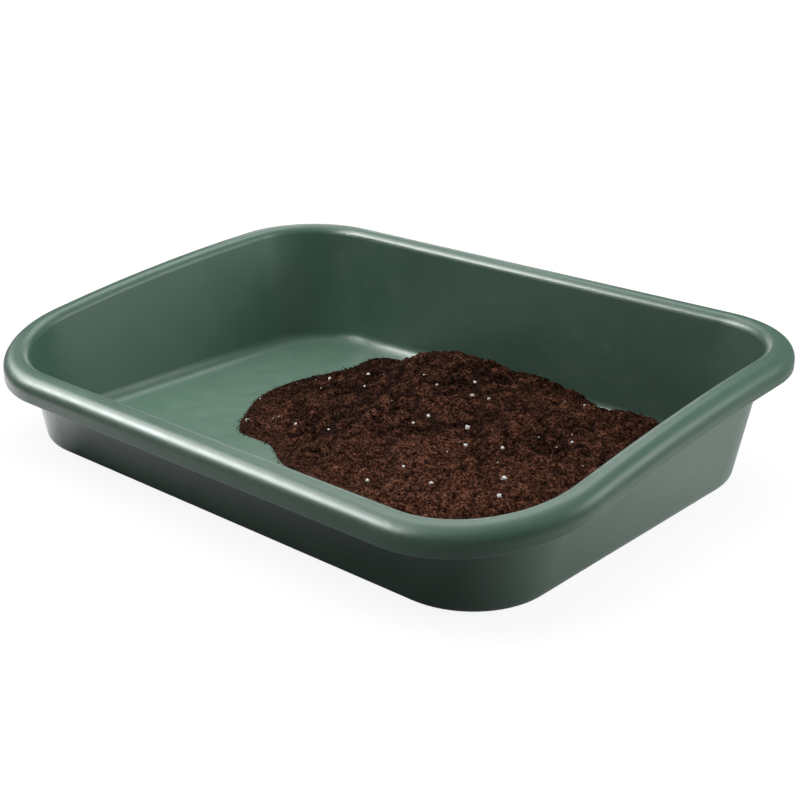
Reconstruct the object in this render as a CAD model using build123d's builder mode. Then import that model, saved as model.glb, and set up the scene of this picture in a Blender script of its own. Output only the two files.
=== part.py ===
"""Potting tray with a low front and a high back, holding a heap of potting soil with perlite in it.

Millimetres, +Z up. The origin is on the table, below the middle of the rim. -Y is the low front.
"""
import math
import os

from build123d import *

# Rim outline, seen from above
tray_length = 600
tray_depth = 430
front_corner_radius = 105
back_corner_radius = 90

# Rim line, seen from the side: an arc that is level at the back and falls towards the front
front_height = 74
back_height = 120

# Rim section: a rolled bead, with a skirt that hangs outside the wall
rim_inner_radius = 8
rim_crest_width = 0.8
rim_outer_radius = 12
skirt_drop = 18
skirt_edge_radius = 0.8

# Base outline, from which the walls flare up to the rim
base_length = 520
base_depth = 374
base_shift = 4
base_front_radius = 64
base_back_radius = 75
base_edge_radius = 11
floor_edge_radius = 14

wall = 2.5

# Soil: a low mound that lies against the back wall, with humps on it at (x, y, height, radius)
soil_clearance = 0.3
mound_x = 53
mound_y = 80
mound_half_length = 229
mound_half_width = 158
mound_turn = 13
mound_height = 26
humps = [(-37, 129, 27, 61), (-160, 177, 10, 37), (100, -95, 14, 75)]
soil_point_spacing = 12

# Clumps and hollows all over the mound, at (along, across) shares of its half sizes
clumps = [
    (-0.79, -0.47), (-0.65, -0.26), (-0.39, -0.38), (-0.37, -0.67), (-0.12, -0.12), (-0.06, -0.6),
    (0.02, 0.62), (0.16, -0.12), (0.28, -0.89), (0.34, 0.2), (0.52, -0.43), (0.66, -0.1),
]
hollows = [
    (-0.73, -0.78), (-0.61, 0.02), (-0.61, 0.41), (-0.51, -0.46), (-0.17, 0.14), (-0.15, -0.32), (-0.1, 0.38),
    (-0.1, -0.88), (0.16, -0.47), (0.32, 0.57), (0.34, -0.24), (0.56, 0.23), (0.83, 0.03),
]
clump_height = 6
hollow_depth = 6
clump_radius = 22

# Perlite: faceted nuggets half sunk in the soil, placed by the same shares
grain_spots = [
    (-0.67, 0.38), (-0.25, 0.1), (-0.1, 0.11), (-0.03, 0.11), (-0.14, 0.26), (-0.57, 0.09), (0.01, -0.27),
    (0.18, -0.36), (0.06, -0.44), (-0.32, 0.14), (0.28, 0.41), (-0.07, -0.77), (-0.81, 0.27), (-0.21, -0.29),
    (0.32, -0.83), (-0.16, -0.91), (-0.17, -0.22), (-0.65, -0.47), (0.28, -0.65), (0.38, -0.12),
    (0.08, -0.88), (-0.51, -0.45), (-0.87, -0.47),
]
grain_widths = [3.4, 2.6, 4.4, 3]
grain_height_share = 0.6
grain_end_share = 0.6
grain_sides = 6
grain_tumble = 40

rim_width = rim_inner_radius + rim_crest_width + rim_outer_radius
rise = back_height - front_height
arch_radius = (tray_depth**2 + rise**2) / (2 * rise)
arch_bow = rise / 4
arch = Location((0, tray_depth / 2, back_height - arch_radius), (0, 90, 0))
lip_reach = 1.2


def rounded_outline(plane, length, depth, front_radius, back_radius):
    """Rectangle with rounded corners, whose front side faces -Y."""
    with BuildSketch(plane) as outline:
        Rectangle(length, depth)
        fillet(outline.vertices().group_by(Axis.Y)[0], front_radius)
        fillet(outline.vertices().group_by(Axis.Y)[-1], back_radius)
    return outline.sketch


def past_lip(base, lip):
    """Carries a size on from the base past the lip, so that the walls can be trimmed at the rim."""
    return base + lip_reach * (lip - base)


def tub(inset, floor_level, edge_radius):
    """Flared solid inside the walls, moved in by inset, from the floor up past the rim."""
    lip_inset = rim_width - wall + inset
    front = Vector(
        0,
        past_lip(base_shift - base_depth / 2 + inset, lip_inset - tray_depth / 2),
        past_lip(floor_level, front_height + arch_bow),
    )
    back = Vector(
        0,
        past_lip(base_shift + base_depth / 2 - inset, tray_depth / 2 - lip_inset),
        past_lip(floor_level, back_height + arch_bow),
    )
    lengthways = Vector(1, 0, 0)
    base_outline = rounded_outline(
        Plane((0, base_shift, floor_level)),
        base_length - 2 * inset,
        base_depth - 2 * inset,
        base_front_radius - inset,
        base_back_radius - inset,
    )
    top_outline = rounded_outline(
        Plane((front + back) / 2, lengthways, lengthways.cross(back - front)),
        past_lip(base_length - 2 * inset, tray_length - 2 * lip_inset),
        (back - front).length,
        past_lip(base_front_radius - inset, front_corner_radius - lip_inset),
        past_lip(base_back_radius - inset, back_corner_radius - lip_inset),
    )
    with BuildPart() as solid:
        loft([base_outline, top_outline], ruled=True)
        fillet(solid.edges().group_by(Axis.Z)[0], edge_radius)
    return solid.part


def rim_block(inset, middle):
    """Block under the rim's arch, moved in by inset, around the solid middle, with rounded top edges."""
    outline = rounded_outline(
        Plane.XY,
        tray_length - 2 * inset,
        tray_depth - 2 * inset,
        front_corner_radius - inset,
        back_corner_radius - inset,
    )
    with BuildPart() as block:
        extrude(outline, 2 * back_height)
        with Locations(arch):
            Cylinder(arch_radius - inset, 2 * tray_length, mode=Mode.INTERSECT)
        add(middle, mode=Mode.SUBTRACT)
        top = block.faces().filter_by(GeomType.CYLINDER).sort_by(SortBy.RADIUS)[-1]
        fillet(top.outer_wire().edges(), rim_outer_radius - inset)
        top = block.faces().filter_by(GeomType.CYLINDER).sort_by(SortBy.RADIUS)[-1]
        fillet(top.inner_wires().edges(), rim_inner_radius - inset)
    return block.part


def mound_point(along, across):
    """Plan place of a point given by shares of the mound's half length and half width."""
    turn = math.radians(mound_turn)
    length = along * mound_half_length
    width = across * mound_half_width
    x = mound_x + length * math.cos(turn) - width * math.sin(turn)
    y = mound_y + length * math.sin(turn) + width * math.cos(turn)
    return x, y


def swell(x, y, swell_x, swell_y, height, radius):
    """What a smooth rise adds at a point, or what a hollow takes away where its height is negative."""
    return height * math.exp(-((x - swell_x) ** 2 + (y - swell_y) ** 2) / radius**2)


def soil_level(x, y):
    """Height of the soil's surface over the table, which dips below the floor beyond the mound's foot."""
    turn = math.radians(mound_turn)
    along = ((x - mound_x) * math.cos(turn) + (y - mound_y) * math.sin(turn)) / mound_half_length
    across = ((y - mound_y) * math.cos(turn) - (x - mound_x) * math.sin(turn)) / mound_half_width
    level = wall + mound_height * (1 - along**2 - across**2)
    level += sum(swell(x, y, *hump) for hump in humps)
    level += sum(swell(x, y, *mound_point(*spot), clump_height, clump_radius) for spot in clumps)
    level += sum(swell(x, y, *mound_point(*spot), -hollow_depth, clump_radius) for spot in hollows)
    return level


def even_steps(width):
    """Evenly spaced places across a width, from one side to the other."""
    steps = math.ceil(width / soil_point_spacing)
    return [width * (step / steps - 0.5) for step in range(steps + 1)]


def nugget(plane, width):
    """Small faceted grain, widest at the given plane."""
    half_height = width * grain_height_share / 2
    with BuildPart() as grain:
        for level, share in ((-half_height, grain_end_share), (0, 1), (half_height, grain_end_share)):
            with BuildSketch(plane.offset(level)):
                RegularPolygon(width * share / 2, grain_sides)
        loft(ruled=True)
    return grain.part


# Tray: one moulded shell, the rim and walls less the hollow under the rim and all below the skirt
outer_tub = tub(0, 0, base_edge_radius)
inner_tub = tub(wall, wall, floor_edge_radius)
rim_outside = rim_block(0, inner_tub)
rim_hollow = rim_block(wall, outer_tub)

with BuildPart() as below_skirt:
    Box(2 * tray_length, 2 * tray_depth, 4 * back_height)
    with Locations(arch):
        Cylinder(arch_radius - skirt_drop, 4 * tray_length, mode=Mode.INTERSECT)
    add(outer_tub, mode=Mode.SUBTRACT)

with BuildPart() as tray:
    add(rim_outside)
    add(rim_hollow, mode=Mode.SUBTRACT)
    add(below_skirt.part, mode=Mode.SUBTRACT)
    skirt_foot = tray.faces().filter_by(GeomType.CYLINDER).filter_by(
        lambda face: math.isclose(face.radius, arch_radius - skirt_drop)
    )
    fillet(skirt_foot[0].outer_wire().edges(), skirt_edge_radius)
tray.part.label = "tray"

# Perlite grains, each tumbled its own way and sunk to its widest plane
grains = []
for number, spot in enumerate(grain_spots):
    x, y = mound_point(*spot)
    seat = Plane((x, y, soil_level(x, y))).rotated((number * grain_tumble, 2 * number * grain_tumble, 0))
    grains.append(nugget(seat, grain_widths[number % len(grain_widths)]))

with BuildPart() as perlite_grains:
    add(grains)
perlite_grains.part.label = "perlite_grains"

# Soil heap: what lies between the tray's floor and the soil's surface, with a pocket for each grain
surface_points = [
    [Vector(x, y, soil_level(x, y)) for y in even_steps(tray_depth)] for x in even_steps(tray_length)
]
soil_surface = Face.make_surface_from_array_of_points(surface_points)

with BuildPart() as soil_heap:
    add(tub(wall + soil_clearance, wall, floor_edge_radius - soil_clearance))
    extrude(soil_surface, 4 * back_height, dir=(0, 0, -1), mode=Mode.INTERSECT)
    add(grains, mode=Mode.SUBTRACT)
soil_heap.part.label = "soil_heap"

os.makedirs("parts", exist_ok=True)
for sub_part in (tray, soil_heap, perlite_grains):
    export_step(sub_part.part, f"parts/{sub_part.part.label}.step")
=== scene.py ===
"""Potting tray with a heap of potting soil, set up for a studio picture.

Metres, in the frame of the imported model: +X along the tray, -Y its low front, +Z up.
"""

import math

import bmesh
import bpy
import numpy as np
from mathutils import Euler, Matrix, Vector, noise
from mathutils.bvhtree import BVHTree
from numpy.lib.stride_tricks import sliding_window_view


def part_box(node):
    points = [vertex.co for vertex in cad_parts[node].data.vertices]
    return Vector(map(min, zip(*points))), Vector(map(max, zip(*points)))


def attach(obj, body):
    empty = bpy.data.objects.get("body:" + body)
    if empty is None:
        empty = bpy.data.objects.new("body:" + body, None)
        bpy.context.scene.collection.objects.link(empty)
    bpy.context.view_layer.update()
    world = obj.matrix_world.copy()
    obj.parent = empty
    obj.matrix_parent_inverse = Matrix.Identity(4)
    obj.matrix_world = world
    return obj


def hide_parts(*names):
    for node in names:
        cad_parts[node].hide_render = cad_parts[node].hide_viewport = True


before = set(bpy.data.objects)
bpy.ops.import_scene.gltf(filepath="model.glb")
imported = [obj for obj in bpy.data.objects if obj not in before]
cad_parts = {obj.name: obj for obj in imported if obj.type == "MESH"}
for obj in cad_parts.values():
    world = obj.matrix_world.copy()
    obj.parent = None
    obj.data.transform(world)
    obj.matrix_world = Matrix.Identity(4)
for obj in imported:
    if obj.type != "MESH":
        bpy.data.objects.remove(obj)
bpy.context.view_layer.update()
soil_low, soil_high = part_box("soil_heap")
floor_level = soil_low.z
scene = bpy.context.scene

MM = 0.001
FULL_TURN = 2 * math.pi
DOWN = Vector((0, 0, -1))

# Camera, fitted to the photograph's edges: angles in degrees, lens and sensor in millimetres
CAMERA_PLACE = (0.777, -0.843, 0.4896)
CAMERA_TURN = 41.79
CAMERA_DROP = 21.12
CAMERA_LENS = 65.6
CAMERA_SENSOR = 36

# Softboxes: name, azimuth from +Y towards +X, elevation, distance, (width, height), watts
# Cards show in gloss and light nothing. Fills light the tray and leave no highlight.
CARDS = [
    ("left_panel", -108, 38, 1.75, (1.1, 1.1), 16.5),
    ("left_card", -135, 34, 1.75, (1.1, 0.5), 20),
    ("back_panel", -40, 54, 2, (1.4, 0.9), 8),
    ("back_card", -42, 17, 2, (0.8, 0.5), 2.6),
    ("right_card", 56, 27, 2, (0.9, 0.8), 5),
]
FILLS = [
    ("top_fill", 0, 77, 2.2, (2, 2), 31),
    ("front_fill", -148, 60, 2.2, (1.6, 1.6), 27),
    ("right_fill", 50, 18, 2.1, (1.8, 1.2), 30),
]
WORLD_GLOW = 0.05

# The studio floor, a little below the tray's base so that the two don't show through each other
FLOOR_REACH = 12
FLOOR_GAP = 0.1 * MM

# Colours
PLASTIC_DARK = (0.063, 0.131, 0.093, 1)
PLASTIC_LIGHT = (0.075, 0.15, 0.108, 1)
PLASTIC_RUBBED = (0.115, 0.19, 0.151, 1)
PLASTIC_SCUFFED_LIT = (0.123, 0.214, 0.16, 1)
PLASTIC_EDGE_HIGHLIGHT = (0.3, 0.4, 0.34, 1)
DIM_SOIL_DARK = (0.0045, 0.0019, 0.0012, 1)
DIM_SOIL_LIGHT = (0.055, 0.0235, 0.0145, 1)
BRIGHT_SOIL_DARK = (0.029, 0.0108, 0.006, 1)
BRIGHT_SOIL_LIGHT = (0.24, 0.1, 0.062, 1)
FIBRE_DARK = (0.015, 0.006, 0.004, 1)
FIBRE_LIGHT = (0.17, 0.085, 0.055, 1)
FIBRE_STAIN = (0.03, 0.012, 0.008, 1)
PERLITE_GREY = (0.86, 0.84, 0.81, 1)
PERLITE_WHITE = (0.96, 0.95, 0.93, 1)
PERLITE_DIRT = (0.4, 0.31, 0.25, 1)
FLOOR_GREY = (0.14, 0.14, 0.14, 1)
WHITE = (1, 1, 1, 1)

# Sockets of the Mix node, whose names repeat
MIX_NUMBER_A, MIX_NUMBER_B, MIX_NUMBER_OUT = 2, 3, 0
MIX_COLOUR_A, MIX_COLOUR_B, MIX_COLOUR_OUT = 6, 7, 2

# Soil surface: lumps, knobs and grit on a grid over the CAD heap, calmer around the perlite grains
SOIL_STEP = 1.3 * MM
HEAP_RISE = 10 * MM
LUMP_WIDTH, LUMP_HEIGHT = 18 * MM, 7 * MM
KNOB_WIDTH, KNOB_HEIGHT = 9 * MM, 3.5 * MM
GRIT_WIDTH, GRIT_HEIGHT, GRIT_FALL = 3 * MM, 0.9 * MM, 0.7
MIDDLE_NOISE = 0.45
SOIL_OCTAVES = 3
LACUNARITY = 2
CALM_RADIUS, CALM_LEAST = 6 * MM, 0.25
FEATHER_HEIGHT = 7 * MM
LEAST_DEPTH = 0.1 * MM
RELIEF_STEPS = 10
HOLLOW_SHARE = 0.25
MERGE_DISTANCE = 0.01 * MM

# Where loose bits may lie: on faces that aren't too steep, or on the floor around the soil's foot
STEEPEST = 0.2
FLOOR_MARGIN = 0.3 * MM
FOOT_HEIGHT = 1.5 * MM
FOOT_TILT = -0.3

# Loose bits on the soil
CRUMB_SEED, NUGGET_SEED, SPECK_SEED, FIBRE_SEED, CLOD_SEED = range(7, 12)
DENT_SHARE = 0.35
KNOBBLY_OCTAVES = 4
KNOBBLY_REACH = 50
CLOD_COUNT = 240
CLOD_RADII = (1.8 * MM, 6.5 * MM)
CLOD_POWER = 2
CLOD_SINK = 0.35
CLOD_ROOM = 0.6
CLOD_ROUNDNESS = 0.7
CRUMB_COUNT = 6600
CRUMB_RADII = (0.5 * MM, 1.8 * MM)
CRUMB_POWER = 2.6
FRINGE_COUNT = 2000
FRINGE_REACH = 1.5 * MM
FRINGE_RISE = 60 * MM
FRINGE_SHRINK = 0.5
NUGGET_GROWTH = 1.15
SPECK_COUNT = 60
SPECK_RADII = (0.3 * MM, 0.75 * MM)
FIBRE_COUNT = 400
FIBRE_LENGTHS = (3 * MM, 9 * MM)
FIBRE_LIFTS = (0.3 * MM, 1.4 * MM)
FIBRE_RADIUS = 0.15 * MM
FIBRE_RISE = 20 * MM
FIBRE_BEND = 0.8
FIBRE_POINTS = 4
FIBRE_ORDER = 3
FIBRE_SEGMENTS = 3


def new_material(name):
    """A material, its node tree and its Principled shader."""
    material = bpy.data.materials.new(name)
    material.use_nodes = True
    return material, material.node_tree, material.node_tree.nodes["Principled BSDF"]


def set_inputs(tree, node, inputs):
    """Gives each named input of a node its plain value, or a link from another node."""
    for key, value in inputs.items():
        if isinstance(value, bpy.types.NodeSocket):
            tree.links.new(value, node.inputs[key])
        else:
            node.inputs[key].default_value = value


def add_node(tree, kind, inputs=None, **settings):
    """A new node with the given settings and inputs."""
    node = tree.nodes.new(kind)
    for key, value in settings.items():
        setattr(node, key, value)
    set_inputs(tree, node, inputs or {})
    return node


def object_place(tree):
    """Where a point lies on its piece."""
    return add_node(tree, "ShaderNodeTexCoord").outputs["Object"]


def along_axes(tree, place):
    """A place's X, Y and Z."""
    return add_node(tree, "ShaderNodeSeparateXYZ", {"Vector": place}).outputs


def noise_value(tree, place, width, detail=3.0, roughness=0.5):
    """Noise from 0 to 1 whose bumps are about as wide as given."""
    inputs = {"Vector": place, "Scale": 1 / width, "Detail": detail, "Roughness": roughness}
    return add_node(tree, "ShaderNodeTexNoise", inputs).outputs["Fac"]


def remap(tree, value, source, target=(0, 1)):
    """A value carried from one range to another and held at its ends."""
    inputs = {
        "Value": value,
        "From Min": source[0],
        "From Max": source[1],
        "To Min": target[0],
        "To Max": target[1],
    }
    return add_node(tree, "ShaderNodeMapRange", inputs).outputs["Result"]


def combine(tree, operation, first, *others):
    """Several values taken together: their ADD, MULTIPLY or MAXIMUM."""
    for other in others:
        node = add_node(tree, "ShaderNodeMath", {0: first, 1: other}, operation=operation)
        first = node.outputs[0]
    return first


def dot(tree, first, second):
    """How far two directions agree."""
    inputs = {0: first, 1: second}
    node = add_node(tree, "ShaderNodeVectorMath", inputs, operation="DOT_PRODUCT")
    return node.outputs["Value"]


def blend(tree, share, first, second):
    """A colour between two others."""
    inputs = {"Factor": share, MIX_COLOUR_A: first, MIX_COLOUR_B: second}
    return add_node(tree, "ShaderNodeMix", inputs, data_type="RGBA").outputs[MIX_COLOUR_OUT]


def bump(tree, height, distance, strength, normal=None):
    """A bumped normal from a height between 0 and 1."""
    inputs = {"Height": height, "Distance": distance, "Strength": strength}
    if normal is not None:
        inputs["Normal"] = normal
    return add_node(tree, "ShaderNodeBump", inputs).outputs["Normal"]


def plastic_material():
    """Satin green plastic with a fine grain and faint flow marks, painted light with some scuffing
    on its floor, and a painted highlight along its sharp outer edges.
    """
    material, tree, shader = new_material("green_plastic")
    place = object_place(tree)
    height = along_axes(tree, place)["Z"]
    cloud = noise_value(tree, place, 90 * MM, detail=4)
    rub = noise_value(tree, place, 18 * MM, detail=6, roughness=0.65)
    grain = noise_value(tree, place, 0.55 * MM, detail=2)
    ripple = noise_value(tree, place, 26 * MM, detail=1)
    rounded = add_node(tree, "ShaderNodeBevel", {"Radius": 2 * MM}, samples=4).outputs["Normal"]
    facing = add_node(tree, "ShaderNodeNewGeometry").outputs["Normal"]

    # Painted light: the tray's inner floor is painted lighter, unevenly, with some scuffing in it
    above_base = remap(tree, height, (2 * MM, 2.4 * MM))
    below_walls = remap(tree, height, (3 * MM, 10 * MM), (1, 0))
    unevenly = remap(tree, rub, (0.3, 0.6), (0.7, 1))
    scuff_and_floor_light = combine(tree, "MULTIPLY", above_base, below_walls, unevenly)
    # Painted highlight: a pale line along the sharp outward edges, where rounded edges would catch
    # light
    outward = remap(tree, dot(tree, place, facing), (0.05, 0.1))
    sharp = remap(tree, dot(tree, rounded, facing), (0.985, 0.88), (0, 0.85))
    edge = combine(tree, "MULTIPLY", outward, sharp)

    tone = blend(tree, remap(tree, cloud, (0.3, 0.7)), PLASTIC_DARK, PLASTIC_LIGHT)
    rubbed = blend(tree, remap(tree, rub, (0.58, 0.8), (0, 0.35)), tone, PLASTIC_RUBBED)
    scuffed_and_lit = blend(tree, scuff_and_floor_light, rubbed, PLASTIC_SCUFFED_LIT)
    waves = bump(tree, ripple, 0.6 * MM, 0.07)
    looks = {
        "Base Color": blend(tree, edge, scuffed_and_lit, PLASTIC_EDGE_HIGHLIGHT),
        "Roughness": remap(tree, rub, (0.3, 0.75), (0.31, 0.4)),
        "Normal": bump(tree, grain, 0.05 * MM, 0.25, waves),
        "Specular IOR Level": 1,
    }
    set_inputs(tree, shader, looks)
    return material


def soil_material():
    """Dark reddish-brown peat, lighter in random patches and towards the front and right, darker
    at the back.

    Painted light lies where it stands up, and painted shade in its hollows.
    """
    material, tree, shader = new_material("potting_soil")
    place = object_place(tree)
    axes = along_axes(tree, place)
    relief = add_node(tree, "ShaderNodeAttribute", attribute_name="relief").outputs["Fac"]
    patches = remap(tree, noise_value(tree, place, 45 * MM), (0.25, 0.75), (0.25, 0.75))
    front = remap(tree, axes["Y"], (0.06, -0.13), (-0.16, 0.45))
    right = remap(tree, axes["X"], (-0.02, 0.2), (-0.1, 0.32))
    # Painted light where the soil stands up and painted shade in its hollows, from the relief
    relief_light_and_shade = remap(tree, relief, (-3 * MM, 3 * MM), (-0.6, 0.6))
    soil_brightness = remap(tree, combine(tree, "ADD", patches, front, right, relief_light_and_shade), (0.1, 1.1))

    speckle = noise_value(tree, place, 3.2 * MM, detail=6, roughness=0.7)
    grains = add_node(tree, "ShaderNodeTexVoronoi", {"Vector": place, "Scale": 1 / (1.5 * MM)})
    shades = add_node(tree, "ShaderNodeSeparateColor", {"Color": grains.outputs["Color"]})
    grain = remap(tree, shades.outputs[0], (0, 1), (-0.25, 0.25))
    share = remap(tree, combine(tree, "ADD", speckle, grain), (0.42, 0.9))
    dim_soil = blend(tree, share, DIM_SOIL_DARK, DIM_SOIL_LIGHT)
    bright_soil = blend(tree, share, BRIGHT_SOIL_DARK, BRIGHT_SOIL_LIGHT)
    looks = {
        "Base Color": blend(tree, soil_brightness, dim_soil, bright_soil),
        "Roughness": remap(tree, speckle, (0.3, 0.7), (0.75, 0.98)),
        "Normal": bump(tree, speckle, 1.2 * MM, 0.8),
        "Specular IOR Level": 0.03,
    }
    set_inputs(tree, shader, looks)
    return material


def fibre_material():
    """Strands of peat and root, each from dark to pale brown."""
    material, tree, shader = new_material("peat_fibre")
    strand = add_node(tree, "ShaderNodeNewGeometry").outputs["Random Per Island"]
    streak = noise_value(tree, object_place(tree), 1.5 * MM, detail=2)
    shade = blend(tree, strand, FIBRE_DARK, FIBRE_LIGHT)
    looks = {
        "Base Color": blend(tree, remap(tree, streak, (0.4, 0.7), (0, 0.5)), shade, FIBRE_STAIN),
        "Roughness": remap(tree, streak, (0.3, 0.7), (0.65, 0.9)),
        "Specular IOR Level": 0.1,
    }
    set_inputs(tree, shader, looks)
    return material


def perlite_material():
    """White puffed stone, pitted all over and a little dirty in places."""
    material, tree, shader = new_material("perlite")
    place = object_place(tree)
    pits = noise_value(tree, place, 0.7 * MM)
    dirt = noise_value(tree, place, 2 * MM, detail=2)
    clean = blend(tree, remap(tree, pits, (0.35, 0.6)), PERLITE_GREY, PERLITE_WHITE)
    looks = {
        "Base Color": blend(tree, remap(tree, dirt, (0.62, 0.8), (0, 0.25)), clean, PERLITE_DIRT),
        "Roughness": remap(tree, pits, (0.3, 0.7), (0.95, 0.7)),
        "Normal": bump(tree, pits, 0.12 * MM, 0.4),
    }
    set_inputs(tree, shader, looks)
    return material


def add_piece(name, data, material):
    """An object parented to the body:root empty, which it rides with, and given its material."""
    data.materials.append(material)
    piece = bpy.data.objects.new(name, data)
    scene.collection.objects.link(piece)
    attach(piece, "root")
    return piece


def add_mesh(name, vertices, faces, material, slot):
    """A smooth mesh that belongs to the tray."""
    mesh = bpy.data.meshes.new(name)
    mesh.from_pydata(vertices, [], faces)
    mesh.polygons.foreach_set("use_smooth", np.ones(len(mesh.polygons), bool))
    return add_piece(name, mesh, material)


def point_below(surface, x, y, start):
    """The first point of a surface straight below a start height, or None."""
    return surface.ray_cast(Vector((x, y, start)), DOWN)[0]


def loose_parts(node):
    """(lowest corner, highest corner) of each separate grain of a CAD node."""
    shape = bmesh.new()
    shape.from_mesh(node.data)
    bmesh.ops.remove_doubles(shape, verts=shape.verts, dist=MERGE_DISTANCE)
    waiting = set(shape.verts)
    grains = []
    while waiting:
        reached = [waiting.pop()]
        grain = list(reached)
        while reached:
            vertex = reached.pop()
            near = {edge.other_vert(vertex) for edge in vertex.link_edges} & waiting
            waiting -= near
            reached += near
            grain += near
        points = np.array([v.co for v in grain])
        grains.append((points.min(0), points.max(0)))
    shape.free()
    return sorted(grains, key=lambda grain: tuple(grain[0]))


def soil_relief(point):
    """How far the soil stands over the plain heap: creased lumps, rounded knobs and grit."""
    creases = noise.turbulence(point / LUMP_WIDTH, SOIL_OCTAVES, True)
    lump = (creases - MIDDLE_NOISE) * LUMP_HEIGHT
    nearest = noise.voronoi(point / KNOB_WIDTH)[0][0]
    knob = (MIDDLE_NOISE - nearest) * KNOB_HEIGHT
    grains = noise.fractal(point / GRIT_WIDTH, GRIT_FALL, LACUNARITY, SOIL_OCTAVES)
    return lump + knob + grains * GRIT_HEIGHT


def local_mean(heights, steps):
    """Mean height around each place of a grid, leaving out the places that have none."""

    def window_sums(layer):
        window = (2 * steps + 1, 2 * steps + 1)
        return sliding_window_view(np.pad(layer, steps), window).sum((2, 3))

    known = ~np.isnan(heights)
    counts = window_sums(known.astype(float))
    return window_sums(np.where(known, heights, 0)) / np.maximum(counts, 1)


def make_heap(node, grains, material):
    """The soil's body: a fine grid laid over the CAD heap, crumbly on top and flat below."""
    cad_heap = BVHTree.FromObject(node, bpy.context.evaluated_depsgraph_get())
    spots = np.array([(lowest + highest)[:2] / 2 for lowest, highest in grains])
    columns = np.arange(soil_low.x, soil_high.x, SOIL_STEP)
    rows = np.arange(soil_low.y, soil_high.y, SOIL_STEP)
    number = np.full((len(columns), len(rows)), -1)
    heights = np.full(number.shape, np.nan)
    vertices = []
    for column, row in np.ndindex(number.shape):
        top = point_below(cad_heap, columns[column], rows[row], soil_high.z + HEAP_RISE)
        if top is not None:
            nearest_grain = np.hypot(*(spots - top[:2]).T).min()
            calm = min(max(nearest_grain / CALM_RADIUS, CALM_LEAST), 1)
            feather = min((top.z - floor_level) / FEATHER_HEIGHT, 1)
            top.z = max(top.z + soil_relief(top) * calm * feather, floor_level + LEAST_DEPTH)
            number[column, row] = len(vertices)
            heights[column, row] = top.z
            vertices.append(top)
    sides = [number[:-1, :-1], number[1:, :-1], number[1:, 1:], number[:-1, 1:]]
    corners = np.stack(sides, axis=-1)
    faces = corners[(corners >= 0).all(-1)].tolist()
    heap = add_mesh("soil", vertices, faces, material, "potting_soil")

    # The relief lets the material paint light on what stands up and shade in what lies low, and
    # stays small at the thin foot
    deepest = (floor_level - heights) * HOLLOW_SHARE
    relief = np.maximum(heights - local_mean(heights, RELIEF_STEPS), deepest)[number >= 0]
    attribute = heap.data.attributes.new("relief", "FLOAT", "POINT")
    attribute.data.foreach_set("value", relief.astype(np.float32))
    close_below(heap.data, floor_level)
    return heap


def close_below(mesh, level):
    """Closes an open surface with a wall down from its edge and a flat underside."""
    shape = bmesh.new()
    shape.from_mesh(mesh)
    stray = [v for v in shape.verts if not v.link_faces]
    bmesh.ops.delete(shape, geom=stray, context="VERTS")
    # The wall is made face by face, because Blender's extrude orders its faces anew each run
    border = [e.link_loops[0] for e in shape.edges if e.is_boundary]
    rim = [v for v in shape.verts if v.is_boundary]
    feet = {v: shape.verts.new((v.co.x, v.co.y, level), v) for v in rim}
    for loop in border:
        start, end = loop.vert, loop.link_loop_next.vert
        shape.faces.new((end, start, feet[start], feet[end]), loop.face)
    bmesh.ops.triangle_fill(shape, edges=[e for e in shape.edges if e.is_boundary])
    bmesh.ops.recalc_face_normals(shape, faces=shape.faces)
    shape.to_mesh(mesh)
    shape.free()


def surface_spots(heap, count, chance):
    """Places scattered over the soil's upward faces, evenly by area."""
    polygons = heap.data.polygons
    middles = np.array([p.center for p in polygons])
    slopes = np.array([p.normal.z for p in polygons])
    areas = np.array([p.area for p in polygons])
    weights = areas * (slopes > STEEPEST) * (middles[:, 2] > floor_level + FLOOR_MARGIN)
    picked = chance.choice(len(weights), count, p=weights / weights.sum())
    return middles[picked] + chance.uniform(-0.5, 0.5, (count, 3)) * SOIL_STEP * [1, 1, 0]


def fringe_spots(heap, tray_shape, chance):
    """Places on the tray's floor just outside the soil's foot, thinning out away from it."""
    low = [v for v in heap.data.vertices if v.co.z < floor_level + FOOT_HEIGHT]
    foot = [v for v in low if v.normal.z > FOOT_TILT]
    spots = []
    for pick in chance.integers(len(foot), size=FRINGE_COUNT):
        outward = Vector((foot[pick].normal.x, foot[pick].normal.y, 0)).normalized()
        place = foot[pick].co + outward * chance.exponential(FRINGE_REACH)
        below = point_below(tray_shape, place.x, place.y, floor_level + FRINGE_RISE)
        if below is not None and below.z < floor_level + FLOOR_MARGIN:
            spots.append(below)
    return np.array(spots)


def mostly_small(limits, count, power, chance):
    """Radii between two limits, the more of them small the higher the power."""
    low, high = limits
    return low + (high - low) * chance.random(count) ** power


def ball(subdivisions):
    """(vertices, faces) of a unit icosphere."""
    shape = bmesh.new()
    bmesh.ops.create_icosphere(shape, subdivisions=subdivisions, radius=1)
    vertices = np.array([v.co for v in shape.verts])
    faces = np.array([[v.index for v in f.verts] for f in shape.faces])
    shape.free()
    return vertices, faces


def knobbly(unit, height, spread, fall, chance):
    """A unit ball's vertices, moved in and out by smooth noise."""
    offset = Vector(chance.uniform(-KNOBBLY_REACH, KNOBBLY_REACH, 3))
    places = [Vector(vertex) * spread + offset for vertex in unit]
    knobs = [1 + height * noise.fractal(p, fall, LACUNARITY, KNOBBLY_OCTAVES) for p in places]
    return unit * np.array(knobs)[:, None]


def joined(lumps, unit_faces):
    """(vertices, faces) of several lumps that were made from the same ball."""
    faces = [unit_faces + number * len(lump) for number, lump in enumerate(lumps)]
    return np.concatenate(lumps).tolist(), np.concatenate(faces).tolist()


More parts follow.
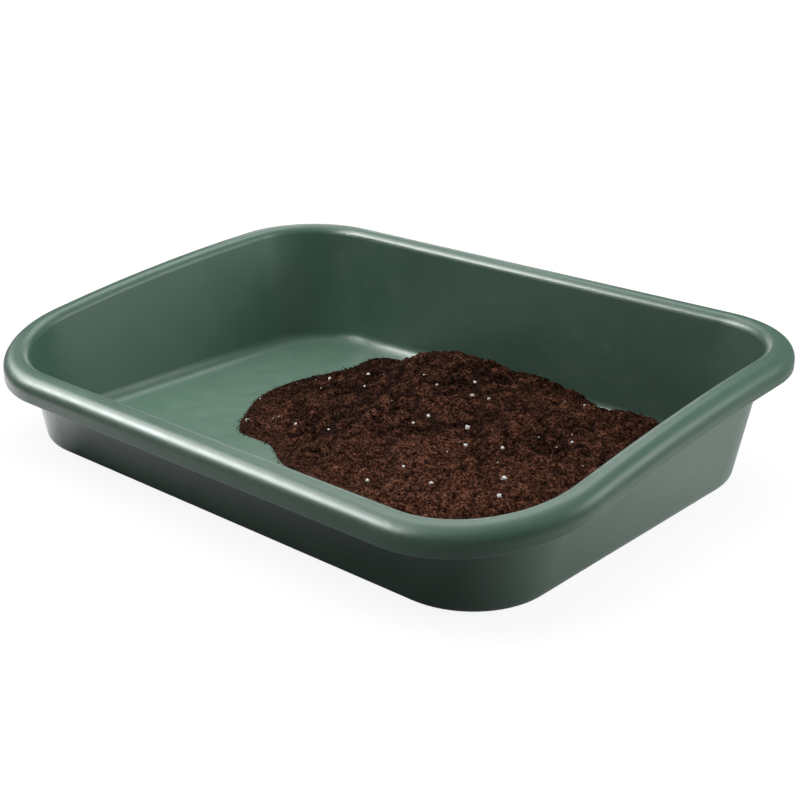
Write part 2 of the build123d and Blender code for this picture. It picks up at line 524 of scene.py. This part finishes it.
def scattered_lumps(spots, radii, roundness, subdivisions, lift, chance):
    """(vertices, faces) of one dented lump at each spot, none of it below the tray's floor."""
    unit, unit_faces = ball(subdivisions)
    lumps = []
    for spot, radius in zip(spots, radii):
        stretch = chance.uniform(roundness, 1, 3)
        dents = 1 + chance.uniform(-DENT_SHARE, DENT_SHARE, (len(unit), 1))
        turn = np.array(Euler(chance.uniform(0, FULL_TURN, 3)).to_matrix())
        lump = (unit * dents * stretch * radius) @ turn.T + spot
        lump[:, 2] = np.maximum(lump[:, 2] + lift * radius, floor_level)
        lumps.append(lump)
    return joined(lumps, unit_faces)


def make_clods(heap, tray_shape, material):
    """Rounded clods, half sunk in the soil and smaller where the tray leaves them less room."""
    chance = np.random.default_rng(CLOD_SEED)
    spots = surface_spots(heap, CLOD_COUNT, chance)
    radii = mostly_small(CLOD_RADII, CLOD_COUNT, CLOD_POWER, chance)
    unit, unit_faces = ball(3)
    lumps = []
    for spot, radius in zip(spots, radii):
        room = tray_shape.find_nearest(Vector(spot))[3]
        radius = min(radius, CLOD_ROOM * room)
        lump = knobbly(unit, height=0.3, spread=1.6, fall=0.8, chance=chance)
        stretch = radius * chance.uniform(CLOD_ROUNDNESS, 1, 3)
        lumps.append(lump * stretch + spot - [0, 0, CLOD_SINK * radius])
    add_mesh("soil_clods", *joined(lumps, unit_faces), material, "potting_soil")


def make_crumbs(heap, tray_shape, material):
    """Crumbs all over the soil and loose ones at its foot, many small and few large."""
    chance = np.random.default_rng(CRUMB_SEED)
    on_soil = surface_spots(heap, CRUMB_COUNT, chance)
    spots = np.concatenate([on_soil, fringe_spots(heap, tray_shape, chance)])
    radii = mostly_small(CRUMB_RADII, len(spots), CRUMB_POWER, chance)
    radii[CRUMB_COUNT:] *= FRINGE_SHRINK
    lumps = scattered_lumps(spots, radii, roundness=0.4, subdivisions=1, lift=0.3, chance=chance)
    add_mesh("soil_crumbs", *lumps, material, "potting_soil")


def make_nuggets(grains, material):
    """Perlite in place of the CAD grains, each a knobbly lump a little larger than its grain."""
    chance = np.random.default_rng(NUGGET_SEED)
    unit, unit_faces = ball(4)
    lumps = []
    for low, high in grains:
        lump = knobbly(unit, height=0.55, spread=1.1, fall=0.7, chance=chance)
        share = (lump - lump.min(0)) / np.ptp(lump, 0) - 0.5
        lumps.append((low + high) / 2 + share * (high - low) * NUGGET_GROWTH)
    return add_mesh("perlite_nuggets", *joined(lumps, unit_faces), material, "perlite")


def make_specks(heap, material):
    """Perlite dust and small chips between the nuggets."""
    chance = np.random.default_rng(SPECK_SEED)
    spots = surface_spots(heap, SPECK_COUNT, chance)
    radii = chance.uniform(*SPECK_RADII, SPECK_COUNT)
    lumps = scattered_lumps(spots, radii, roundness=0.6, subdivisions=2, lift=0.6, chance=chance)
    add_mesh("perlite_specks", *lumps, material, "perlite")


def make_fibres(heap, material):
    """Thin bent strands that lie on the soil."""
    chance = np.random.default_rng(FIBRE_SEED)
    spots = surface_spots(heap, FIBRE_COUNT, chance)
    surface = BVHTree.FromObject(heap, bpy.context.evaluated_depsgraph_get())
    strands = bpy.data.curves.new("peat_fibres", "CURVE")
    strands.dimensions = "3D"
    strands.bevel_depth = FIBRE_RADIUS
    strands.bevel_resolution = 0
    strands.resolution_u = FIBRE_SEGMENTS
    strands.use_fill_caps = True
    for spot in spots:
        heading = chance.uniform(0, FULL_TURN)
        length = chance.uniform(*FIBRE_LENGTHS)
        route = []
        place = Vector(spot)
        for _ in range(FIBRE_POINTS):
            ground = point_below(surface, place.x, place.y, place.z + FIBRE_RISE)
            if ground is None:
                break
            route.append(ground + Vector((0, 0, chance.uniform(*FIBRE_LIFTS))))
            heading += chance.uniform(-FIBRE_BEND, FIBRE_BEND)
            ahead = Vector((math.cos(heading), math.sin(heading), 0))
            place = place + ahead * length / (FIBRE_POINTS - 1)
        if len(route) == FIBRE_POINTS:
            strand = strands.splines.new("NURBS")
            strand.points.add(FIBRE_POINTS - 1)
            for point, where in zip(strand.points, route):
                point.co = (*where, 1)
            strand.order_u = FIBRE_ORDER
            strand.use_endpoint_u = True
    add_piece("peat_fibres", strands, material)


def shown(tree, seen, mirrored, lit):
    """A strength that differs for what the picture shows, for gloss and for light.

    See-through surfaces show what the picture does.
    """
    path = add_node(tree, "ShaderNodeLightPath").outputs
    gloss = remap(tree, path["Is Glossy Ray"], (0, 1), (lit, mirrored))
    direct = combine(tree, "MAXIMUM", path["Is Camera Ray"], path["Is Transmission Ray"])
    inputs = {"Factor": direct, MIX_NUMBER_A: gloss, MIX_NUMBER_B: seen}
    return add_node(tree, "ShaderNodeMix", inputs).outputs[MIX_NUMBER_OUT]


def floor_material():
    """Pale floor that shows white in the picture and keeps the shadow.

    Gloss sees a painted reflection on it: bright by the tray's ends, a painted shadow along the
    tray's front and dark farther away.
    """
    material, tree, shader = new_material("floor")
    tree.nodes.remove(shader)
    place = object_place(tree)
    axes = along_axes(tree, place)
    x, y = axes["X"], axes["Y"]
    away = add_node(tree, "ShaderNodeVectorMath", {0: place}, operation="LENGTH").outputs["Value"]

    # Painted reflection, seen in gloss only: a glow up to 1.85 beside the tray's left end and 0.7
    # by its right, a painted shadow along the tray's front foot, fading farther away
    right = remap(tree, combine(tree, "ADD", x, y), (0.02, 0.4), (0.03, 0.7))
    left_end = remap(tree, x, (-0.187, -0.265), (0, 1.85))
    left = combine(tree, "MULTIPLY", left_end, remap(tree, y, (-0.02, -0.12), (0.4, 1)))
    beyond_foot = remap(tree, y, (-0.19, -0.245))
    front = combine(tree, "MULTIPLY", beyond_foot, remap(tree, x, (0.15, -0.25), (0.12, 1)))
    near = combine(tree, "MAXIMUM", left, front)
    faded = combine(tree, "MULTIPLY", near, remap(tree, y, (-0.265, -0.33), (1, 0.2)))
    around = combine(tree, "MAXIMUM", right, faded)
    mirrored = combine(tree, "MULTIPLY", around, remap(tree, away, (0.42, 0.65), (1, 0.1)))

    seen = remap(tree, away, (0.5, 1.6), (0.9, 1))
    strength = shown(tree, seen, mirrored, 0)
    plain = add_node(tree, "ShaderNodeBsdfDiffuse", {"Color": FLOOR_GREY})
    glow = add_node(tree, "ShaderNodeEmission", {"Color": WHITE, "Strength": strength})
    both = add_node(tree, "ShaderNodeAddShader", {0: plain.outputs[0], 1: glow.outputs[0]})
    set_inputs(tree, tree.nodes["Material Output"], {"Surface": both.outputs[0]})
    return material


def make_floor():
    """Floor under the tray, which isn't part of it."""
    mesh = bpy.data.meshes.new("floor")
    corners = [(-1, -1), (1, -1), (1, 1), (-1, 1)]
    vertices = [(x * FLOOR_REACH, y * FLOOR_REACH, 0) for x, y in corners]
    mesh.from_pydata(vertices, [], [(0, 1, 2, 3)])
    mesh.materials.append(floor_material())
    floor = bpy.data.objects.new("floor", mesh)
    floor.location.z = -FLOOR_GAP
    scene.collection.objects.link(floor)


def make_world():
    """Surroundings that show white in the picture and add a faint, even light."""
    world = bpy.data.worlds.new("studio")
    world.use_nodes = True
    tree = world.node_tree
    strength = shown(tree, 1, WORLD_GLOW, WORLD_GLOW)
    set_inputs(tree, tree.nodes["Background"], {"Color": WHITE, "Strength": strength})
    scene.world = world


def make_camera():
    """The photograph's camera."""
    lens = bpy.data.cameras.new("camera")
    lens.sensor_width = CAMERA_SENSOR
    lens.lens = CAMERA_LENS
    camera = bpy.data.objects.new("camera", lens)
    camera.location = CAMERA_PLACE
    camera.rotation_euler = (math.radians(90 - CAMERA_DROP), 0, math.radians(CAMERA_TURN))
    scene.collection.objects.link(camera)
    scene.camera = camera


def make_softbox(name, azimuth, elevation, distance, size, power):
    """A rectangular studio lamp that faces the tray."""
    lamp = bpy.data.lights.new(name, "AREA")
    lamp.shape = "RECTANGLE"
    lamp.size, lamp.size_y = size
    lamp.energy = power
    softbox = bpy.data.objects.new(name, lamp)
    place = Vector((0, distance, 0))
    place.rotate(Euler((math.radians(elevation), 0, -math.radians(azimuth))))
    softbox.location = place
    softbox.rotation_euler = (-place).to_track_quat("-Z", "Y").to_euler()
    scene.collection.objects.link(softbox)
    return softbox


scene.view_settings.view_transform = "Standard"

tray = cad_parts["tray"]
tray.data.materials.clear()
tray.data.materials.append(plastic_material())

soil_look = soil_material()
perlite_look = perlite_material()
grains = loose_parts(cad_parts["perlite_grains"])
heap = make_heap(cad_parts["soil_heap"], grains, soil_look)
tray_shape = BVHTree.FromObject(tray, bpy.context.evaluated_depsgraph_get())
make_clods(heap, tray_shape, soil_look)
make_crumbs(heap, tray_shape, soil_look)
make_fibres(heap, fibre_material())
nuggets = make_nuggets(grains, perlite_look)
make_specks(heap, perlite_look)
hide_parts("soil_heap")
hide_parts("perlite_grains")

make_floor()
make_world()
make_camera()
for card in CARDS:
    make_softbox(*card).visible_diffuse = False
for fill in FILLS:
    make_softbox(*fill).visible_glossy = False
